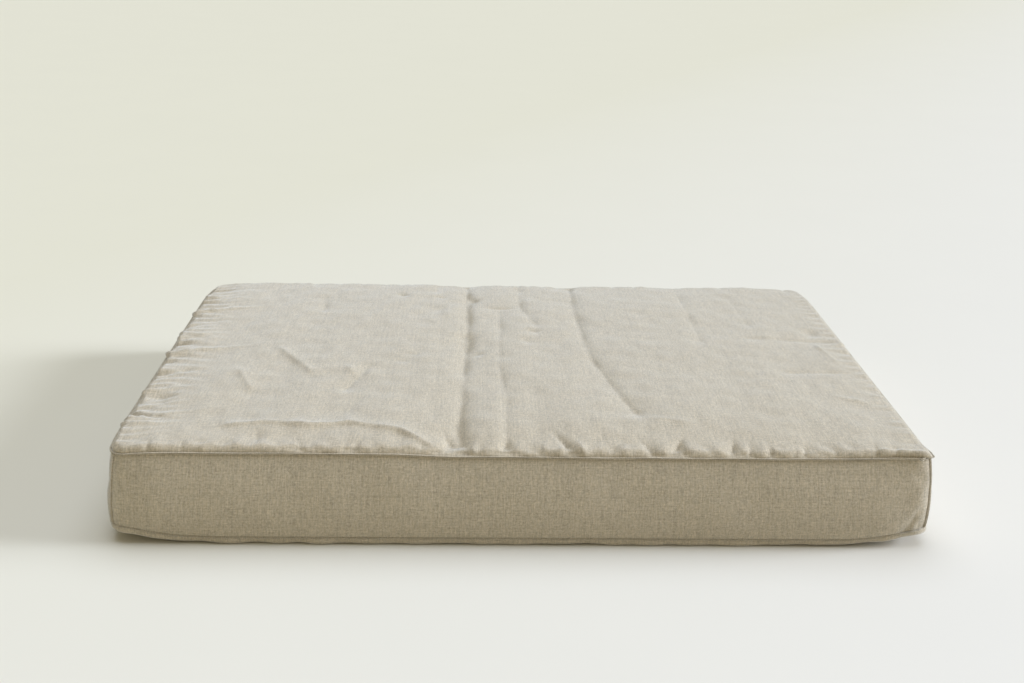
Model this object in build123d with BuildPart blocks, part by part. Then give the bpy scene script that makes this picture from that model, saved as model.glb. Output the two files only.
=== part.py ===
from build123d import *
import os

# Driving sizes in millimetres. The origin is the middle of the underside, the front faces -Y.
cushion_length = 1000
cushion_depth = 700
cushion_height = 125

# Linen cover: its seams stand out from the body as narrow lips with the thread between them.
cloth = 0.8
lip_reach = 2.5
thread = 0.6
body_corner = 25
top_seam_drop = 8
bottom_seam_rise = 10
panel_edge_radius = 7

body_length = cushion_length - 2 * lip_reach
body_depth = cushion_depth - 2 * lip_reach
corner_centre_x = body_length / 2 - body_corner
corner_centre_y = body_depth / 2 - body_corner
top_panel_low = cushion_height - top_seam_drop + thread / 2
bottom_panel_high = bottom_seam_rise - thread / 2
band_low = bottom_seam_rise + thread / 2
band_high = cushion_height - top_seam_drop - thread / 2

# Zip in the back band, its teeth in two straight rows. The back band is flat over the zip.
zip_length = 930
slot_width = 10.4
slot_end_gap = 3
tape_width = 14
tape_thickness = 0.6
row_gap = 1.3
coil_width = 2.6
coil_thickness = 1.8
stop_length = 2.5
stop_wall = 0.5
topstitch_inset = 2.5
topstitch_rise = 0.4

quarter_turn = 90

zip_height = (band_low + band_high) / 2
band_outer_y = body_depth / 2
band_inner_y = band_outer_y - cloth
tape_inner_y = band_inner_y - tape_thickness
coil_outer_y = band_inner_y + coil_thickness
slot_length = zip_length + 2 * slot_end_gap
stop_x = (zip_length + stop_length) / 2
clip_low = row_gap / 2 - stop_wall
clip_high = row_gap / 2 + coil_width

# Slider and pull: the clearance stays free round them over their whole travel.
clearance = 0.3
slider_length = 12
slider_width = 9
slider_corner = 2
plate_thickness = 1.1
flange_thickness = 0.95
post_length = 4
pin_radius = 0.6
pin_play = 0.08
eye_radius = 1.5
ear_thickness = 1
pull_length = 28
pull_width = 6
pull_thickness = 1.2
pull_end_radius = 2.7
grip_slot_middle = 20
grip_slot_length = 9.8
grip_slot_width = 2.4
closed_gap = 4

inner_plate_high = tape_inner_y - clearance
inner_plate_low = inner_plate_high - plate_thickness
outer_plate_low = coil_outer_y + clearance
outer_plate_high = outer_plate_low + plate_thickness
slider_closed_x = zip_length / 2 - closed_gap - slider_length / 2
pin_y = outer_plate_high + clearance + eye_radius
post_x = slider_closed_x + (slider_length - post_length) / 2 - clearance
ear_span = pull_width + 2 * (clearance + ear_thickness)
pull_room = pull_width + 2 * clearance

# Filling: each layer sits a small gap inside the one round it.
layer_gap = 0.3
calico = 0.5
wadding = 6
zip_room = 0.6
casing_edge_radius = 7
foam_edge_radius = 3

casing_low = cloth + layer_gap
casing_high = cushion_height - casing_low
casing_back_y = inner_plate_low - zip_room
casing_front_y = casing_low - band_outer_y
casing_length = body_length - 2 * casing_low
casing_depth = casing_back_y - casing_front_y
casing_middle_y = (casing_back_y + casing_front_y) / 2
casing_corner = body_corner - casing_low
casing_seam_low = casing_low + casing_edge_radius + calico
casing_seam_high = casing_high - casing_edge_radius - calico
wadding_inset = calico + layer_gap
wadding_join = (casing_low + casing_high) / 2
foam_inset = wadding_inset + wadding + layer_gap
foam_low = casing_low + foam_inset
foam_high = casing_high - foam_inset


def cover_ring(outer, inner, height):
    """Plan ring between two outlines drawn in from the cover's body; a negative inset reaches out."""
    with BuildSketch(Plane.XY.offset(height)) as ring:
        RectangleRounded(body_length - 2 * outer, body_depth - 2 * outer, body_corner - outer)
        RectangleRounded(
            body_length - 2 * inner, body_depth - 2 * inner, body_corner - inner, mode=Mode.SUBTRACT
        )
    return ring.sketch


def corner_centres(turn):
    """Corner arc centres of one side, measured along it and across it."""
    if turn % 2 == 0:
        return corner_centre_x, corner_centre_y
    return corner_centre_y, corner_centre_x


def side_ring(turn, outer, height):
    """The stretch of the cover's ring between two corner seams: turn 0 is the front, 1 the right."""
    along, across = corner_centres(turn)
    seam_y = -across - thread / 2 * 2**0.5
    reach = body_length
    with BuildSketch(Plane.XY.offset(height)) as side:
        add(cover_ring(outer, cloth, 0))
        with Locations(Rotation(0, 0, quarter_turn * turn)):
            Polygon(
                (along, seam_y),
                (-along, seam_y),
                (-along - reach, seam_y - reach),
                (along + reach, seam_y - reach),
                align=None,
                mode=Mode.INTERSECT,
            )
    return side.sketch


def corner_lips(turn, height):
    """The two upright seam lips at the ends of one side, one each side of the threads' planes."""
    along, across = corner_centres(turn)
    with BuildSketch(Plane.XY.offset(height)) as lips:
        for side in (-1, 1):
            outward = Location((side * along, -across), quarter_turn * (side / 2 - 1))
            beside_thread = Location((body_corner + (lip_reach - cloth) / 2, -side * (thread + cloth) / 2))
            with Locations(Rotation(0, 0, quarter_turn * turn) * outward * beside_thread):
                Rectangle(lip_reach + cloth, cloth)
    return lips.sketch


def add_band(turn, low, high):
    """A boxing strip between two heights with its upright corner lips."""
    extrude(side_ring(turn, 0, low), amount=high - low)
    extrude(corner_lips(turn, low), amount=high - low)


def add_band_lip(turn, height):
    """The level seam lip of one boxing strip."""
    extrude(side_ring(turn, -lip_reach, height), amount=cloth)


def add_whole_band(turn):
    """A boxing strip from the bottom seam to the top seam, with a lip at each."""
    add_band(turn, band_low, band_high)
    add_band_lip(turn, band_low)
    add_band_lip(turn, band_high - cloth)


def back_plan(length, low_y, high_y, height, middle_x=0):
    """Plan of a straight strip that lies along the back band."""
    with BuildSketch(Plane.XY.offset(height)) as strip:
        with Locations((middle_x, (low_y + high_y) / 2)):
            Rectangle(length, high_y - low_y)
    return strip.sketch


def cut_zip_slot():
    """The opening of the back band over the two rows of teeth."""
    slot = back_plan(slot_length, casing_back_y, cushion_depth / 2, zip_height - slot_width / 2)
    extrude(slot, amount=slot_width, mode=Mode.SUBTRACT)


def add_seam_ring(height):
    """Thread of a seam that runs round the whole cover."""
    middle = -lip_reach / 2
    extrude(cover_ring(middle - thread / 2, middle + thread / 2, height - thread / 2), amount=thread)


def hollow_tray(wall, face, radius):
    """Round the rim of a block's flat face, then hollow it from the opposite face."""
    fillet(faces().sort_by(Axis.Z)[face].edges(), radius)
    offset(amount=-wall, openings=faces().sort_by(Axis.Z)[-1 - face])


def filling_plan(inset, height):
    """Plan outline of a layer of the filling, drawn in from the casing's outer face by inset."""
    with BuildSketch(Plane.XY.offset(height)) as outline:
        with Locations((0, casing_middle_y)):
            RectangleRounded(casing_length - 2 * inset, casing_depth - 2 * inset, casing_corner - inset)
    return outline.sketch


def slider_plate(high_y):
    """Face of one plate of the slider."""
    with BuildSketch(Plane.XZ.offset(-high_y)) as plate:
        with Locations((slider_closed_x, zip_height)):
            RectangleRounded(slider_length, slider_width, slider_corner)
    return plate.sketch


def stop_clip(middle_x, low, high):
    """A metal clip across the front and back of the tape, between two heights."""
    extrude(back_plan(stop_length, tape_inner_y - stop_wall, coil_outer_y, low, middle_x), amount=high - low)


def cut_tapes(middle_x):
    """Take the two tapes out of a metal clip that is folded over them."""
    for side in (-1, 1):
        tape_low = zip_height + side * (row_gap + tape_width) / 2 - tape_width / 2
        tape = back_plan(stop_length, tape_inner_y, band_inner_y, tape_low, middle_x)
        extrude(tape, amount=tape_width, mode=Mode.SUBTRACT)


os.makedirs("parts", exist_ok=True)

# Linen cover: two panels and the boxing strips between them
with BuildPart() as cover_top_panel:
    with BuildSketch(Plane.XY.offset(top_panel_low)):
        RectangleRounded(body_length, body_depth, body_corner)
    extrude(amount=cushion_height - top_panel_low)
    hollow_tray(cloth, -1, panel_edge_radius)
    extrude(cover_ring(-lip_reach, cloth, top_panel_low), amount=cloth)
cover_top_panel.part.label = "Cover top panel"
export_step(cover_top_panel.part, "parts/cover_top_panel.step")

with BuildPart() as cover_bottom_panel:
    with BuildSketch():
        RectangleRounded(body_length, body_depth, body_corner)
    extrude(amount=bottom_panel_high)
    hollow_tray(cloth, 0, panel_edge_radius)
    extrude(cover_ring(-lip_reach, cloth, bottom_panel_high - cloth), amount=cloth)
cover_bottom_panel.part.label = "Cover bottom panel"
export_step(cover_bottom_panel.part, "parts/cover_bottom_panel.step")

with BuildPart() as cover_front_band:
    add_whole_band(0)
cover_front_band.part.label = "Cover front band"
export_step(cover_front_band.part, "parts/cover_front_band.step")

with BuildPart() as cover_right_band:
    add_whole_band(1)
cover_right_band.part.label = "Cover right band"
export_step(cover_right_band.part, "parts/cover_right_band.step")

with BuildPart() as cover_left_band:
    add_whole_band(3)
cover_left_band.part.label = "Cover left band"
export_step(cover_left_band.part, "parts/cover_left_band.step")

with BuildPart() as cover_back_upper_band:
    add_band(2, zip_height, band_high)
    add_band_lip(2, band_high - cloth)
    cut_zip_slot()
cover_back_upper_band.part.label = "Cover back band above the zip"
export_step(cover_back_upper_band.part, "parts/cover_back_upper_band.step")

with BuildPart() as cover_back_lower_band:
    add_band(2, band_low, zip_height)
    add_band_lip(2, band_low)
    cut_zip_slot()
cover_back_lower_band.part.label = "Cover back band below the zip"
export_step(cover_back_lower_band.part, "parts/cover_back_lower_band.step")

# Threads of the seams, each held between its two lips
with BuildPart() as top_seam_stitching:
    add_seam_ring(cushion_height - top_seam_drop)
top_seam_stitching.part.label = "Top seam stitching"
export_step(top_seam_stitching.part, "parts/top_seam_stitching.step")

with BuildPart() as bottom_seam_stitching:
    add_seam_ring(bottom_seam_rise)
bottom_seam_stitching.part.label = "Bottom seam stitching"
export_step(bottom_seam_stitching.part, "parts/bottom_seam_stitching.step")

with BuildPart() as corner_seam_stitching:
    with BuildSketch(Plane.XY.offset(band_low)):
        for side_x in (-1, 1):
            for side_y in (-1, 1):
                diagonal = quarter_turn / 2 * side_x * side_y
                outward = Location((side_x * corner_centre_x, side_y * corner_centre_y), diagonal)
                with Locations(outward * Location((side_x * (body_corner + lip_reach / 2), 0))):
                    Rectangle(thread, thread)
    extrude(amount=band_high - band_low)
corner_seam_stitching.part.label = "Corner seam stitching"
export_step(corner_seam_stitching.part, "parts/corner_seam_stitching.step")

with BuildPart() as zip_stitching:
    for side in (-1, 1):
        row_height = zip_height + side * (slot_width / 2 + topstitch_inset)
        row = back_plan(slot_length, band_outer_y, band_outer_y + topstitch_rise, row_height - thread / 2)
        extrude(row, amount=thread)
zip_stitching.part.label = "Zip stitching"
export_step(zip_stitching.part, "parts/zip_stitching.step")

# Zip: tapes, teeth and stops
with BuildPart() as zip_tape_upper:
    extrude(back_plan(slot_length, tape_inner_y, band_inner_y, zip_height + row_gap / 2), amount=tape_width)
zip_tape_upper.part.label = "Upper zip tape"
export_step(zip_tape_upper.part, "parts/zip_tape_upper.step")

with BuildPart() as zip_tape_lower:
    lower_tape_low = zip_height - row_gap / 2 - tape_width
    extrude(back_plan(slot_length, tape_inner_y, band_inner_y, lower_tape_low), amount=tape_width)
zip_tape_lower.part.label = "Lower zip tape"
export_step(zip_tape_lower.part, "parts/zip_tape_lower.step")

with BuildPart() as zip_coil_upper:
    extrude(back_plan(zip_length, band_inner_y, coil_outer_y, zip_height + row_gap / 2), amount=coil_width)
zip_coil_upper.part.label = "Upper row of zip teeth"
export_step(zip_coil_upper.part, "parts/zip_coil_upper.step")

with BuildPart() as zip_coil_lower:
    lower_coil_low = zip_height - row_gap / 2 - coil_width
    extrude(back_plan(zip_length, band_inner_y, coil_outer_y, lower_coil_low), amount=coil_width)
zip_coil_lower.part.label = "Lower row of zip teeth"
export_step(zip_coil_lower.part, "parts/zip_coil_lower.step")

with BuildPart() as zip_top_stops:
    stop_clip(stop_x, zip_height + clip_low, zip_height + clip_high)
    stop_clip(stop_x, zip_height - clip_high, zip_height - clip_low)
    cut_tapes(stop_x)
zip_top_stops.part.label = "Zip top stops"
export_step(zip_top_stops.part, "parts/zip_top_stops.step")

with BuildPart() as zip_bottom_stop:
    stop_clip(-stop_x, zip_height - clip_high, zip_height + clip_high)
    cut_tapes(-stop_x)
zip_bottom_stop.part.label = "Zip bottom stop"
export_step(zip_bottom_stop.part, "parts/zip_bottom_stop.step")

# Slider: two plates joined by a post, flanges beside the teeth, and a pin between two ears
with BuildPart() as zip_slider_body:
    extrude(slider_plate(outer_plate_high), amount=plate_thickness)
    extrude(slider_plate(inner_plate_high), amount=plate_thickness)
    with BuildSketch(Plane.XZ.offset(-outer_plate_low)):
        with Locations((post_x, zip_height)):
            Rectangle(post_length, row_gap - 2 * clearance)
    extrude(amount=outer_plate_low - inner_plate_high)
    with BuildSketch(Plane.XZ.offset(-outer_plate_low)):
        with Locations((slider_closed_x, zip_height)):
            with GridLocations(0, slider_width - flange_thickness, 1, 2):
                Rectangle(slider_length - 2 * slider_corner, flange_thickness)
    extrude(amount=outer_plate_low - band_inner_y - clearance)
    with BuildSketch(Plane.XY.offset(zip_height - ear_span / 2)):
        with Locations((slider_closed_x, pin_y)):
            Circle(eye_radius)
        with Locations((slider_closed_x, (pin_y + outer_plate_high) / 2)):
            Rectangle(2 * eye_radius, pin_y - outer_plate_high)
    extrude(amount=ear_span)
    with BuildSketch(Plane.XY.offset(zip_height - pull_room / 2)):
        with Locations((slider_closed_x, pin_y)):
            Rectangle(4 * eye_radius, 2 * (eye_radius + clearance))
            Circle(pin_radius, mode=Mode.SUBTRACT)
    extrude(amount=pull_room, mode=Mode.SUBTRACT)
zip_slider_body.part.label = "Zip slider"
export_step(zip_slider_body.part, "parts/zip_slider_body.step")

with BuildPart() as zip_pull_tab:
    with BuildSketch(Plane.XY.offset(zip_height - pull_width / 2)):
        with Locations((slider_closed_x, pin_y)):
            Circle(eye_radius)
            with Locations((-pull_length / 2, 0)):
                Rectangle(pull_length, pull_thickness)
            Circle(pin_radius + pin_play, mode=Mode.SUBTRACT)
    extrude(amount=pull_width)
    fillet(edges().filter_by(Axis.Y).group_by(Axis.X)[0], pull_end_radius)
    with BuildSketch(Plane.XZ.offset(-pin_y - pull_thickness)):
        with Locations((slider_closed_x - grip_slot_middle, zip_height)):
            SlotOverall(grip_slot_length, grip_slot_width)
    extrude(amount=2 * pull_thickness, mode=Mode.SUBTRACT)
zip_pull_tab.part.label = "Zip pull tab"
export_step(zip_pull_tab.part, "parts/zip_pull_tab.step")

# Filling: calico casing, wadding wrap and foam slab
with BuildPart() as inner_casing_top:
    extrude(filling_plan(0, casing_seam_high), amount=casing_high - casing_seam_high)
    hollow_tray(calico, -1, casing_edge_radius)
inner_casing_top.part.label = "Inner casing top"
export_step(inner_casing_top.part, "parts/inner_casing_top.step")

with BuildPart() as inner_casing_bottom:
    extrude(filling_plan(0, casing_low), amount=casing_seam_low - casing_low)
    hollow_tray(calico, 0, casing_edge_radius)
inner_casing_bottom.part.label = "Inner casing bottom"
export_step(inner_casing_bottom.part, "parts/inner_casing_bottom.step")

with BuildPart() as inner_casing_band:
    seam_gap = casing_seam_high - casing_seam_low
    extrude(filling_plan(0, casing_seam_low), amount=seam_gap)
    extrude(filling_plan(calico, casing_seam_low), amount=seam_gap, mode=Mode.SUBTRACT)
inner_casing_band.part.label = "Inner casing band"
export_step(inner_casing_band.part, "parts/inner_casing_band.step")

with BuildPart() as wadding_top:
    extrude(filling_plan(wadding_inset, wadding_join), amount=casing_high - wadding_inset - wadding_join)
    hollow_tray(wadding, -1, casing_edge_radius)
wadding_top.part.label = "Upper wadding"
export_step(wadding_top.part, "parts/wadding_top.step")

with BuildPart() as wadding_bottom:
    wadding_low = casing_low + wadding_inset
    extrude(filling_plan(wadding_inset, wadding_low), amount=wadding_join - wadding_low)
    hollow_tray(wadding, 0, casing_edge_radius)
wadding_bottom.part.label = "Lower wadding"
export_step(wadding_bottom.part, "parts/wadding_bottom.step")

with BuildPart() as foam_core:
    extrude(filling_plan(foam_inset, foam_low), amount=foam_high - foam_low)
    fillet(faces().filter_by(Axis.Z).edges(), foam_edge_radius)
foam_core.part.label = "Foam core"
export_step(foam_core.part, "parts/foam_core.step")
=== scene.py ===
import itertools
import math

import bpy
import numpy as np
from mathutils import Euler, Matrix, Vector


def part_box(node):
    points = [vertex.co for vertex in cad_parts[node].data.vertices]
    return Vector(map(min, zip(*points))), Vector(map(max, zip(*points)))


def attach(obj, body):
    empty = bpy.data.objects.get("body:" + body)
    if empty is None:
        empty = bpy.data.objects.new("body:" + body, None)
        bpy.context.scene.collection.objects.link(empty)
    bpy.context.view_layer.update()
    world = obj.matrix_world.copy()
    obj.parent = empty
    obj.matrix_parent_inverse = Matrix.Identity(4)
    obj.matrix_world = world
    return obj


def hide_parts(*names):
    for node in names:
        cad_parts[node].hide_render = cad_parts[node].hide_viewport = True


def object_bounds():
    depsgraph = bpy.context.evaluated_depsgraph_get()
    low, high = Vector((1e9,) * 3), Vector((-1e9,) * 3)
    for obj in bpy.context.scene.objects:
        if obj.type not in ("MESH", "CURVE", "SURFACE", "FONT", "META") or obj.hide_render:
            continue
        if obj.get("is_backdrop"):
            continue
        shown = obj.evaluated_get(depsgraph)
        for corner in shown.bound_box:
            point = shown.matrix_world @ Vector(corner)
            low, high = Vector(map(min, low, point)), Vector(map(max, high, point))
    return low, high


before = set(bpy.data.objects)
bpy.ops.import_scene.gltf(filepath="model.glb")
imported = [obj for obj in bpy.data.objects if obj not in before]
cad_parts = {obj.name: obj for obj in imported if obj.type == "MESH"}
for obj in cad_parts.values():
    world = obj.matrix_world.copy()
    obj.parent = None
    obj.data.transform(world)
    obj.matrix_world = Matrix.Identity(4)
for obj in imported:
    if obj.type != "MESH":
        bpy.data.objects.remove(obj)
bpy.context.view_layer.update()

# ---------------------------------------------------------------- sizes, in metres, from the CAD frame
panel_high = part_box("cover_top_panel")[1]
top_thread_low, top_thread_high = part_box("top_seam_stitching")
bottom_thread_low, bottom_thread_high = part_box("bottom_seam_stitching")
row_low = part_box("zip_coil_lower")
row_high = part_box("zip_coil_upper")

# Seam lips: how far the CAD panel's lip stands out, and the lengths cut at the top, bottom and corners.
# The two lips of a seam lie lip_apart to each side of it.
cloth = 0.0008
lip_reach = 0.0025
lip_length = 0.0032
low_lip_length = 0.0014
end_lip_length = 0.0020
lip_apart = 0.0006
half_x = panel_high[0] - lip_reach - cloth / 2
half_y = panel_high[1] - lip_reach - cloth / 2
half = (half_x, half_y)
top_seam = (top_thread_low[2] + top_thread_high[2]) / 2
bottom_seam = (bottom_thread_low[2] + bottom_thread_high[2]) / 2
band_height = top_seam - bottom_seam
zip_height = (row_low[0][2] + row_high[1][2]) / 2
zip_half = row_high[1][0]

# The cover's shape: the plan's corner and edge radius, the dome of the top, how full the bands are at their
# ends, how much wider the foot is than the top, and the deepest crease (less close to a seam).
corner = 0.020
edge_radius = 0.008
crown = 0.0065
corner_swell = 0.0042
flare = 0.009
foot_corner = 0.024
foot_half = (half_x + flare, half_y + flare)
deepest = 0.0070
deepest_by_seam = 0.0035
on_seam = 1e-6

rng = np.random.default_rng(5)


# ---------------------------------------------------------------- small helpers
def smooth(value):
    """Eases from 0 to 1 as value goes from 0 to 1."""
    value = np.clip(value, 0, 1)
    return value * value * (3 - 2 * value)


def unit(ways):
    """Vectors made one long."""
    return ways / np.maximum(np.linalg.norm(ways, axis=-1, keepdims=True), 1e-12)


def ripple(x, y, size, seed, waves=14):
    """Smooth random relief of about -1 to 1 with bumps of the given size."""
    draw = np.random.default_rng(seed)
    total = np.zeros(np.broadcast(x, y).shape)
    for _ in range(waves):
        angle, phase = draw.uniform(0, 2 * math.pi, 2)
        pitch = size * draw.uniform(0.7, 1.6)
        total += np.sin((x * math.cos(angle) + y * math.sin(angle)) * 2 * math.pi / pitch + phase)
    return total / math.sqrt(2 * waves)


def graded(half, count):
    """Positions from -half to half, closer together near both ends."""
    even = np.linspace(-1, 1, count)
    return half * (1.28 * even - 0.28 * even**3)


class Panel:
    """A flat piece with rounded corners that wraps over the rounded edge of a block and down its side."""

    def __init__(self, half, corner_radius, radius, drop=0.0):
        self.half, self.corner_radius, self.radius, self.drop = half, corner_radius, radius, drop
        self.core = (half[0] - corner_radius, half[1] - corner_radius)
        spare = radius * (math.pi / 2 - 1) + drop
        self.flat_half = (half[0] + spare, half[1] + spare)
        self.flat_corner = corner_radius + spare

    def grid(self, count_s, count_t):
        """Flat places of a grid, bent so that its four corners follow the panel's rounded ones."""
        s, t = np.meshgrid(graded(self.flat_half[0], count_s), graded(self.flat_half[1], count_t),
                           indexing="ij")
        p = (np.abs(s) - self.core[0]) / self.flat_corner
        q = (np.abs(t) - self.core[1]) / self.flat_corner
        both = (p > 0) & (q > 0)
        p_round = np.where(both, p * np.sqrt(np.maximum(1 - q * q / 2, 0)), p)
        q_round = np.where(both, q * np.sqrt(np.maximum(1 - p * p / 2, 0)), q)
        return (np.sign(s) * (self.core[0] + self.flat_corner * p_round),
                np.sign(t) * (self.core[1] + self.flat_corner * q_round))

    def wrap(self, s, t):
        """Plan, height above the seam, outward normal and distance from the seam of flat places."""
        core = np.stack([np.clip(s, -self.core[0], self.core[0]), np.clip(t, -self.core[1], self.core[1])])
        out = np.stack([s, t]) - core
        reach = np.maximum(np.hypot(*out), 1e-9)
        depth = self.flat_corner - reach
        past_drop = np.maximum(depth - self.drop, 0)
        turn = np.minimum(past_drop / self.radius, math.pi / 2)
        inset = self.radius * (1 - np.cos(turn)) + np.maximum(past_drop - self.radius * math.pi / 2, 0)
        plan = core + out * np.where(depth < self.flat_corner, (self.corner_radius - inset) / reach, 1)
        plan = np.where(reach < 1e-6, np.stack([s, t]), plan)
        rise = np.minimum(depth, self.drop) + self.radius * np.sin(turn)
        side = out / reach
        normal = np.stack([side[0] * np.cos(turn), side[1] * np.cos(turn), np.sin(turn)], -1)
        return plan, rise, normal, depth


top_sheet = Panel(half, corner, edge_radius)
flat_half_x, flat_half_y = top_sheet.flat_half


# ---------------------------------------------------------------- creases of the top panel
# Each: points along it, depth, width on its left and on its right going from its first point to its last.
folds = [
    ([(-0.071, 0.38), (-0.068, 0.12), (-0.074, -0.13), (-0.077, -0.29), (-0.069, -0.38)],
     0.0062, 0.0080, 0.010),
    ([(0.103, 0.38), (0.098, 0.19), (0.107, -0.03), (0.137, -0.19), (0.156, -0.26)], 0.0046, 0.009, 0.014),
    ([(0.015, 0.38), (0.014, 0.21), (0.038, 0.09)], 0.0026, 0.007, 0.009),
    ([(-0.018, 0.21), (-0.024, -0.06), (-0.017, -0.18), (-0.021, -0.38)], 0.0026, 0.007, 0.007),
    ([(-0.117, 0.36), (-0.122, 0.27)], 0.0024, 0.007, 0.009),
    ([(0.278, 0.38), (0.278, 0.02)], 0.0023, 0.009, 0.009),
    ([(0.359, 0.30), (0.365, 0.10)], 0.0020, 0.009, 0.009),
    ([(-0.190, 0.276), (-0.160, 0.262)], 0.0022, 0.005, 0.005),
    ([(-0.133, 0.264), (-0.094, 0.254)], 0.0024, 0.005, 0.005),
    ([(-0.060, 0.202), (0.014, 0.200)], 0.0026, 0.005, 0.005),
    ([(-0.066, 0.262), (-0.056, 0.225)], 0.0024, 0.005, 0.005),
    ([(-0.078, 0.080), (-0.072, 0.040)], 0.0022, 0.004, 0.005),
    ([(0.336, 0.062), (0.492, 0.057)], 0.0024, 0.005, 0.005),
    ([(0.362, -0.080), (0.492, -0.081)], 0.0020, 0.005, 0.005),
    ([(-0.347, 0.011), (-0.291, -0.084), (-0.270, -0.123)], -0.0028, 0.006, 0.005),
    ([(-0.388, -0.079), (-0.349, -0.180)], -0.0024, 0.007, 0.005),
    ([(-0.302, 0.274), (-0.293, 0.158)], 0.0026, 0.006, 0.006),
    ([(-0.259, -0.083), (-0.263, -0.145)], 0.0024, 0.005, 0.005),
    ([(-0.241, -0.067), (-0.212, -0.129)], -0.0022, 0.005, 0.005),
    ([(-0.199, -0.057), (-0.236, -0.185)], 0.0024, 0.006, 0.006),
    ([(-0.165, -0.020), (-0.128, -0.034)], 0.0020, 0.005, 0.005),
    ([(-0.175, -0.047), (-0.145, -0.063)], 0.0020, 0.005, 0.005),
    ([(0.006, 0.060), (0.028, 0.020)], 0.0028, 0.005, 0.005),
    ([(0.020, 0.100), (0.038, 0.072)], 0.0022, 0.005, 0.005),
    ([(-0.058, -0.010), (-0.046, -0.028)], 0.0022, 0.005, 0.005),
    ([(0.449, 0.051), (0.464, -0.057)], -0.0024, 0.006, 0.005),
    ([(0.410, -0.163), (0.476, -0.198)], -0.0024, 0.006, 0.005),
    ([(-0.380, -0.289), (-0.321, -0.280), (-0.263, -0.290), (-0.216, -0.280), (-0.151, -0.300),
      (-0.094, -0.350)], -0.0042, 0.010, 0.0032),
    ([(-0.330, -0.290), (-0.318, -0.345)], 0.0022, 0.006, 0.006),
    ([(-0.285, -0.295), (-0.300, -0.345)], 0.0022, 0.006, 0.006),
    ([(0.154, -0.250), (0.230, -0.275)], -0.0020, 0.007, 0.007),
]
# Each: place, depth and size.
dimples = [(0.455, 0.098, 0.0030, 0.012), (-0.118, 0.189, 0.0020, 0.013), (-0.470, -0.183, 0.0035, 0.014)]


def crease_relief(x, y, creases, fade=0.03):
    """Height of a set of creases: sharp along each line, easing off to both sides and both ends."""
    relief = np.zeros(x.shape)
    for points, depth, left, right in creases:
        points = np.array(points)
        legs = np.hypot(*np.diff(points, axis=0).T)
        whole = legs.sum()
        nearest = np.full(x.shape, np.inf)
        side = np.zeros(x.shape)
        along = np.zeros(x.shape)
        walked = 0.0
        for start, end, leg in zip(points[:-1], points[1:], legs):
            way = (end - start) / leg
            dx, dy = x - start[0], y - start[1]
            run = np.clip(dx * way[0] + dy * way[1], 0, leg)
            gap = np.hypot(dx - run * way[0], dy - run * way[1])
            closer = gap < nearest
            nearest = np.where(closer, gap, nearest)
            side = np.where(closer, way[0] * dy - way[1] * dx, side)
            along = np.where(closer, walked + run, along)
            walked += leg
        width = np.where(side > 0, left, right)
        ends = smooth(along / min(fade, whole / 2)) * smooth((whole - along) / min(fade, whole / 2))
        relief -= depth * (0.6 * np.exp(-nearest / width) + 0.4 * np.exp(-nearest / (3 * width))) * ends
    return relief * (1 + 0.4 * ripple(x, y, 0.07, 44))


def pucker_relief(place, depth, puckers):
    """Short pinches that run in from a seam: place is along the seam, depth the way from it."""
    relief = np.zeros(place.shape)
    for at, length, sink, width, slant in puckers:
        gap = np.abs(place - at - slant * depth)
        relief -= sink * np.exp(-gap / width) * np.exp(-(depth / length) ** 2)
    return relief


def random_puckers(low, high, spacing, lengths, sinks):
    """Pinches along a seam from low to high, with random places and sizes."""
    found = []
    at = low + spacing * rng.uniform(0, 1)
    while at < high:
        strength = rng.uniform(0, 1) ** 1.5
        length = lengths[0] + (lengths[1] - lengths[0]) * rng.uniform(0, 1) * (0.4 + 0.6 * strength)
        sink = sinks[0] + (sinks[1] - sinks[0]) * strength
        sink *= rng.choice([1, 1, -0.7])
        found.append((at, length, sink, rng.uniform(0.0024, 0.0056), rng.normal(0, 0.25)))
        at += spacing * rng.uniform(0.5, 1.6)
    return found


# Each: place along the seam, length, depth, width and slant.
front_puckers = [
    (-0.082, 0.045, 0.0080, 0.0064, -0.25), (-0.062, 0.030, -0.0032, 0.0048, 0.2),
    (-0.019, 0.030, 0.0040, 0.0040, 0.0), (0.045, 0.020, -0.0040, 0.0048, 0.2),
    (0.064, 0.035, 0.0096, 0.0048, -0.45), (0.076, 0.025, -0.0040, 0.0040, -0.3),
    (0.160, 0.025, 0.0048, 0.0040, -0.4), (0.183, 0.030, 0.0088, 0.0040, 0.35),
    (0.198, 0.022, 0.0048, 0.0032, -0.2), (0.255, 0.028, 0.0072, 0.0040, 0.15),
    (0.277, 0.020, 0.0048, 0.0032, 0.1), (0.303, 0.022, 0.0048, 0.0040, 0.0),
    (0.343, 0.022, 0.00448, 0.0040, 0.2), (-0.205, 0.025, 0.00352, 0.0048, 0.3),
    (-0.265, 0.022, 0.0032, 0.0048, -0.3),
]
front_puckers += random_puckers(-0.47, 0.48, 0.024, (0.012, 0.028), (0.0008, 0.00352))
left_puckers = random_puckers(-0.33, 0.32, 0.022, (0.025, 0.075), (0.00224, 0.0096))
right_puckers = random_puckers(-0.32, 0.32, 0.026, (0.015, 0.045), (0.00064, 0.00352))
back_puckers = random_puckers(-0.47, 0.47, 0.026, (0.012, 0.030), (0.00064, 0.00288))


# ---------------------------------------------------------------- cloth relaxation
def pull_apart(first, second, rest, hold):
    """Moves two sets of points so that their distance nears the rest length."""
    gap = second - first
    length = np.sqrt(np.einsum("...i,...i->...", gap, gap))
    gap *= (0.5 * hold * (1 - rest / np.maximum(length, 1e-9)))[..., None]
    first += gap
    second -= gap


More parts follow.
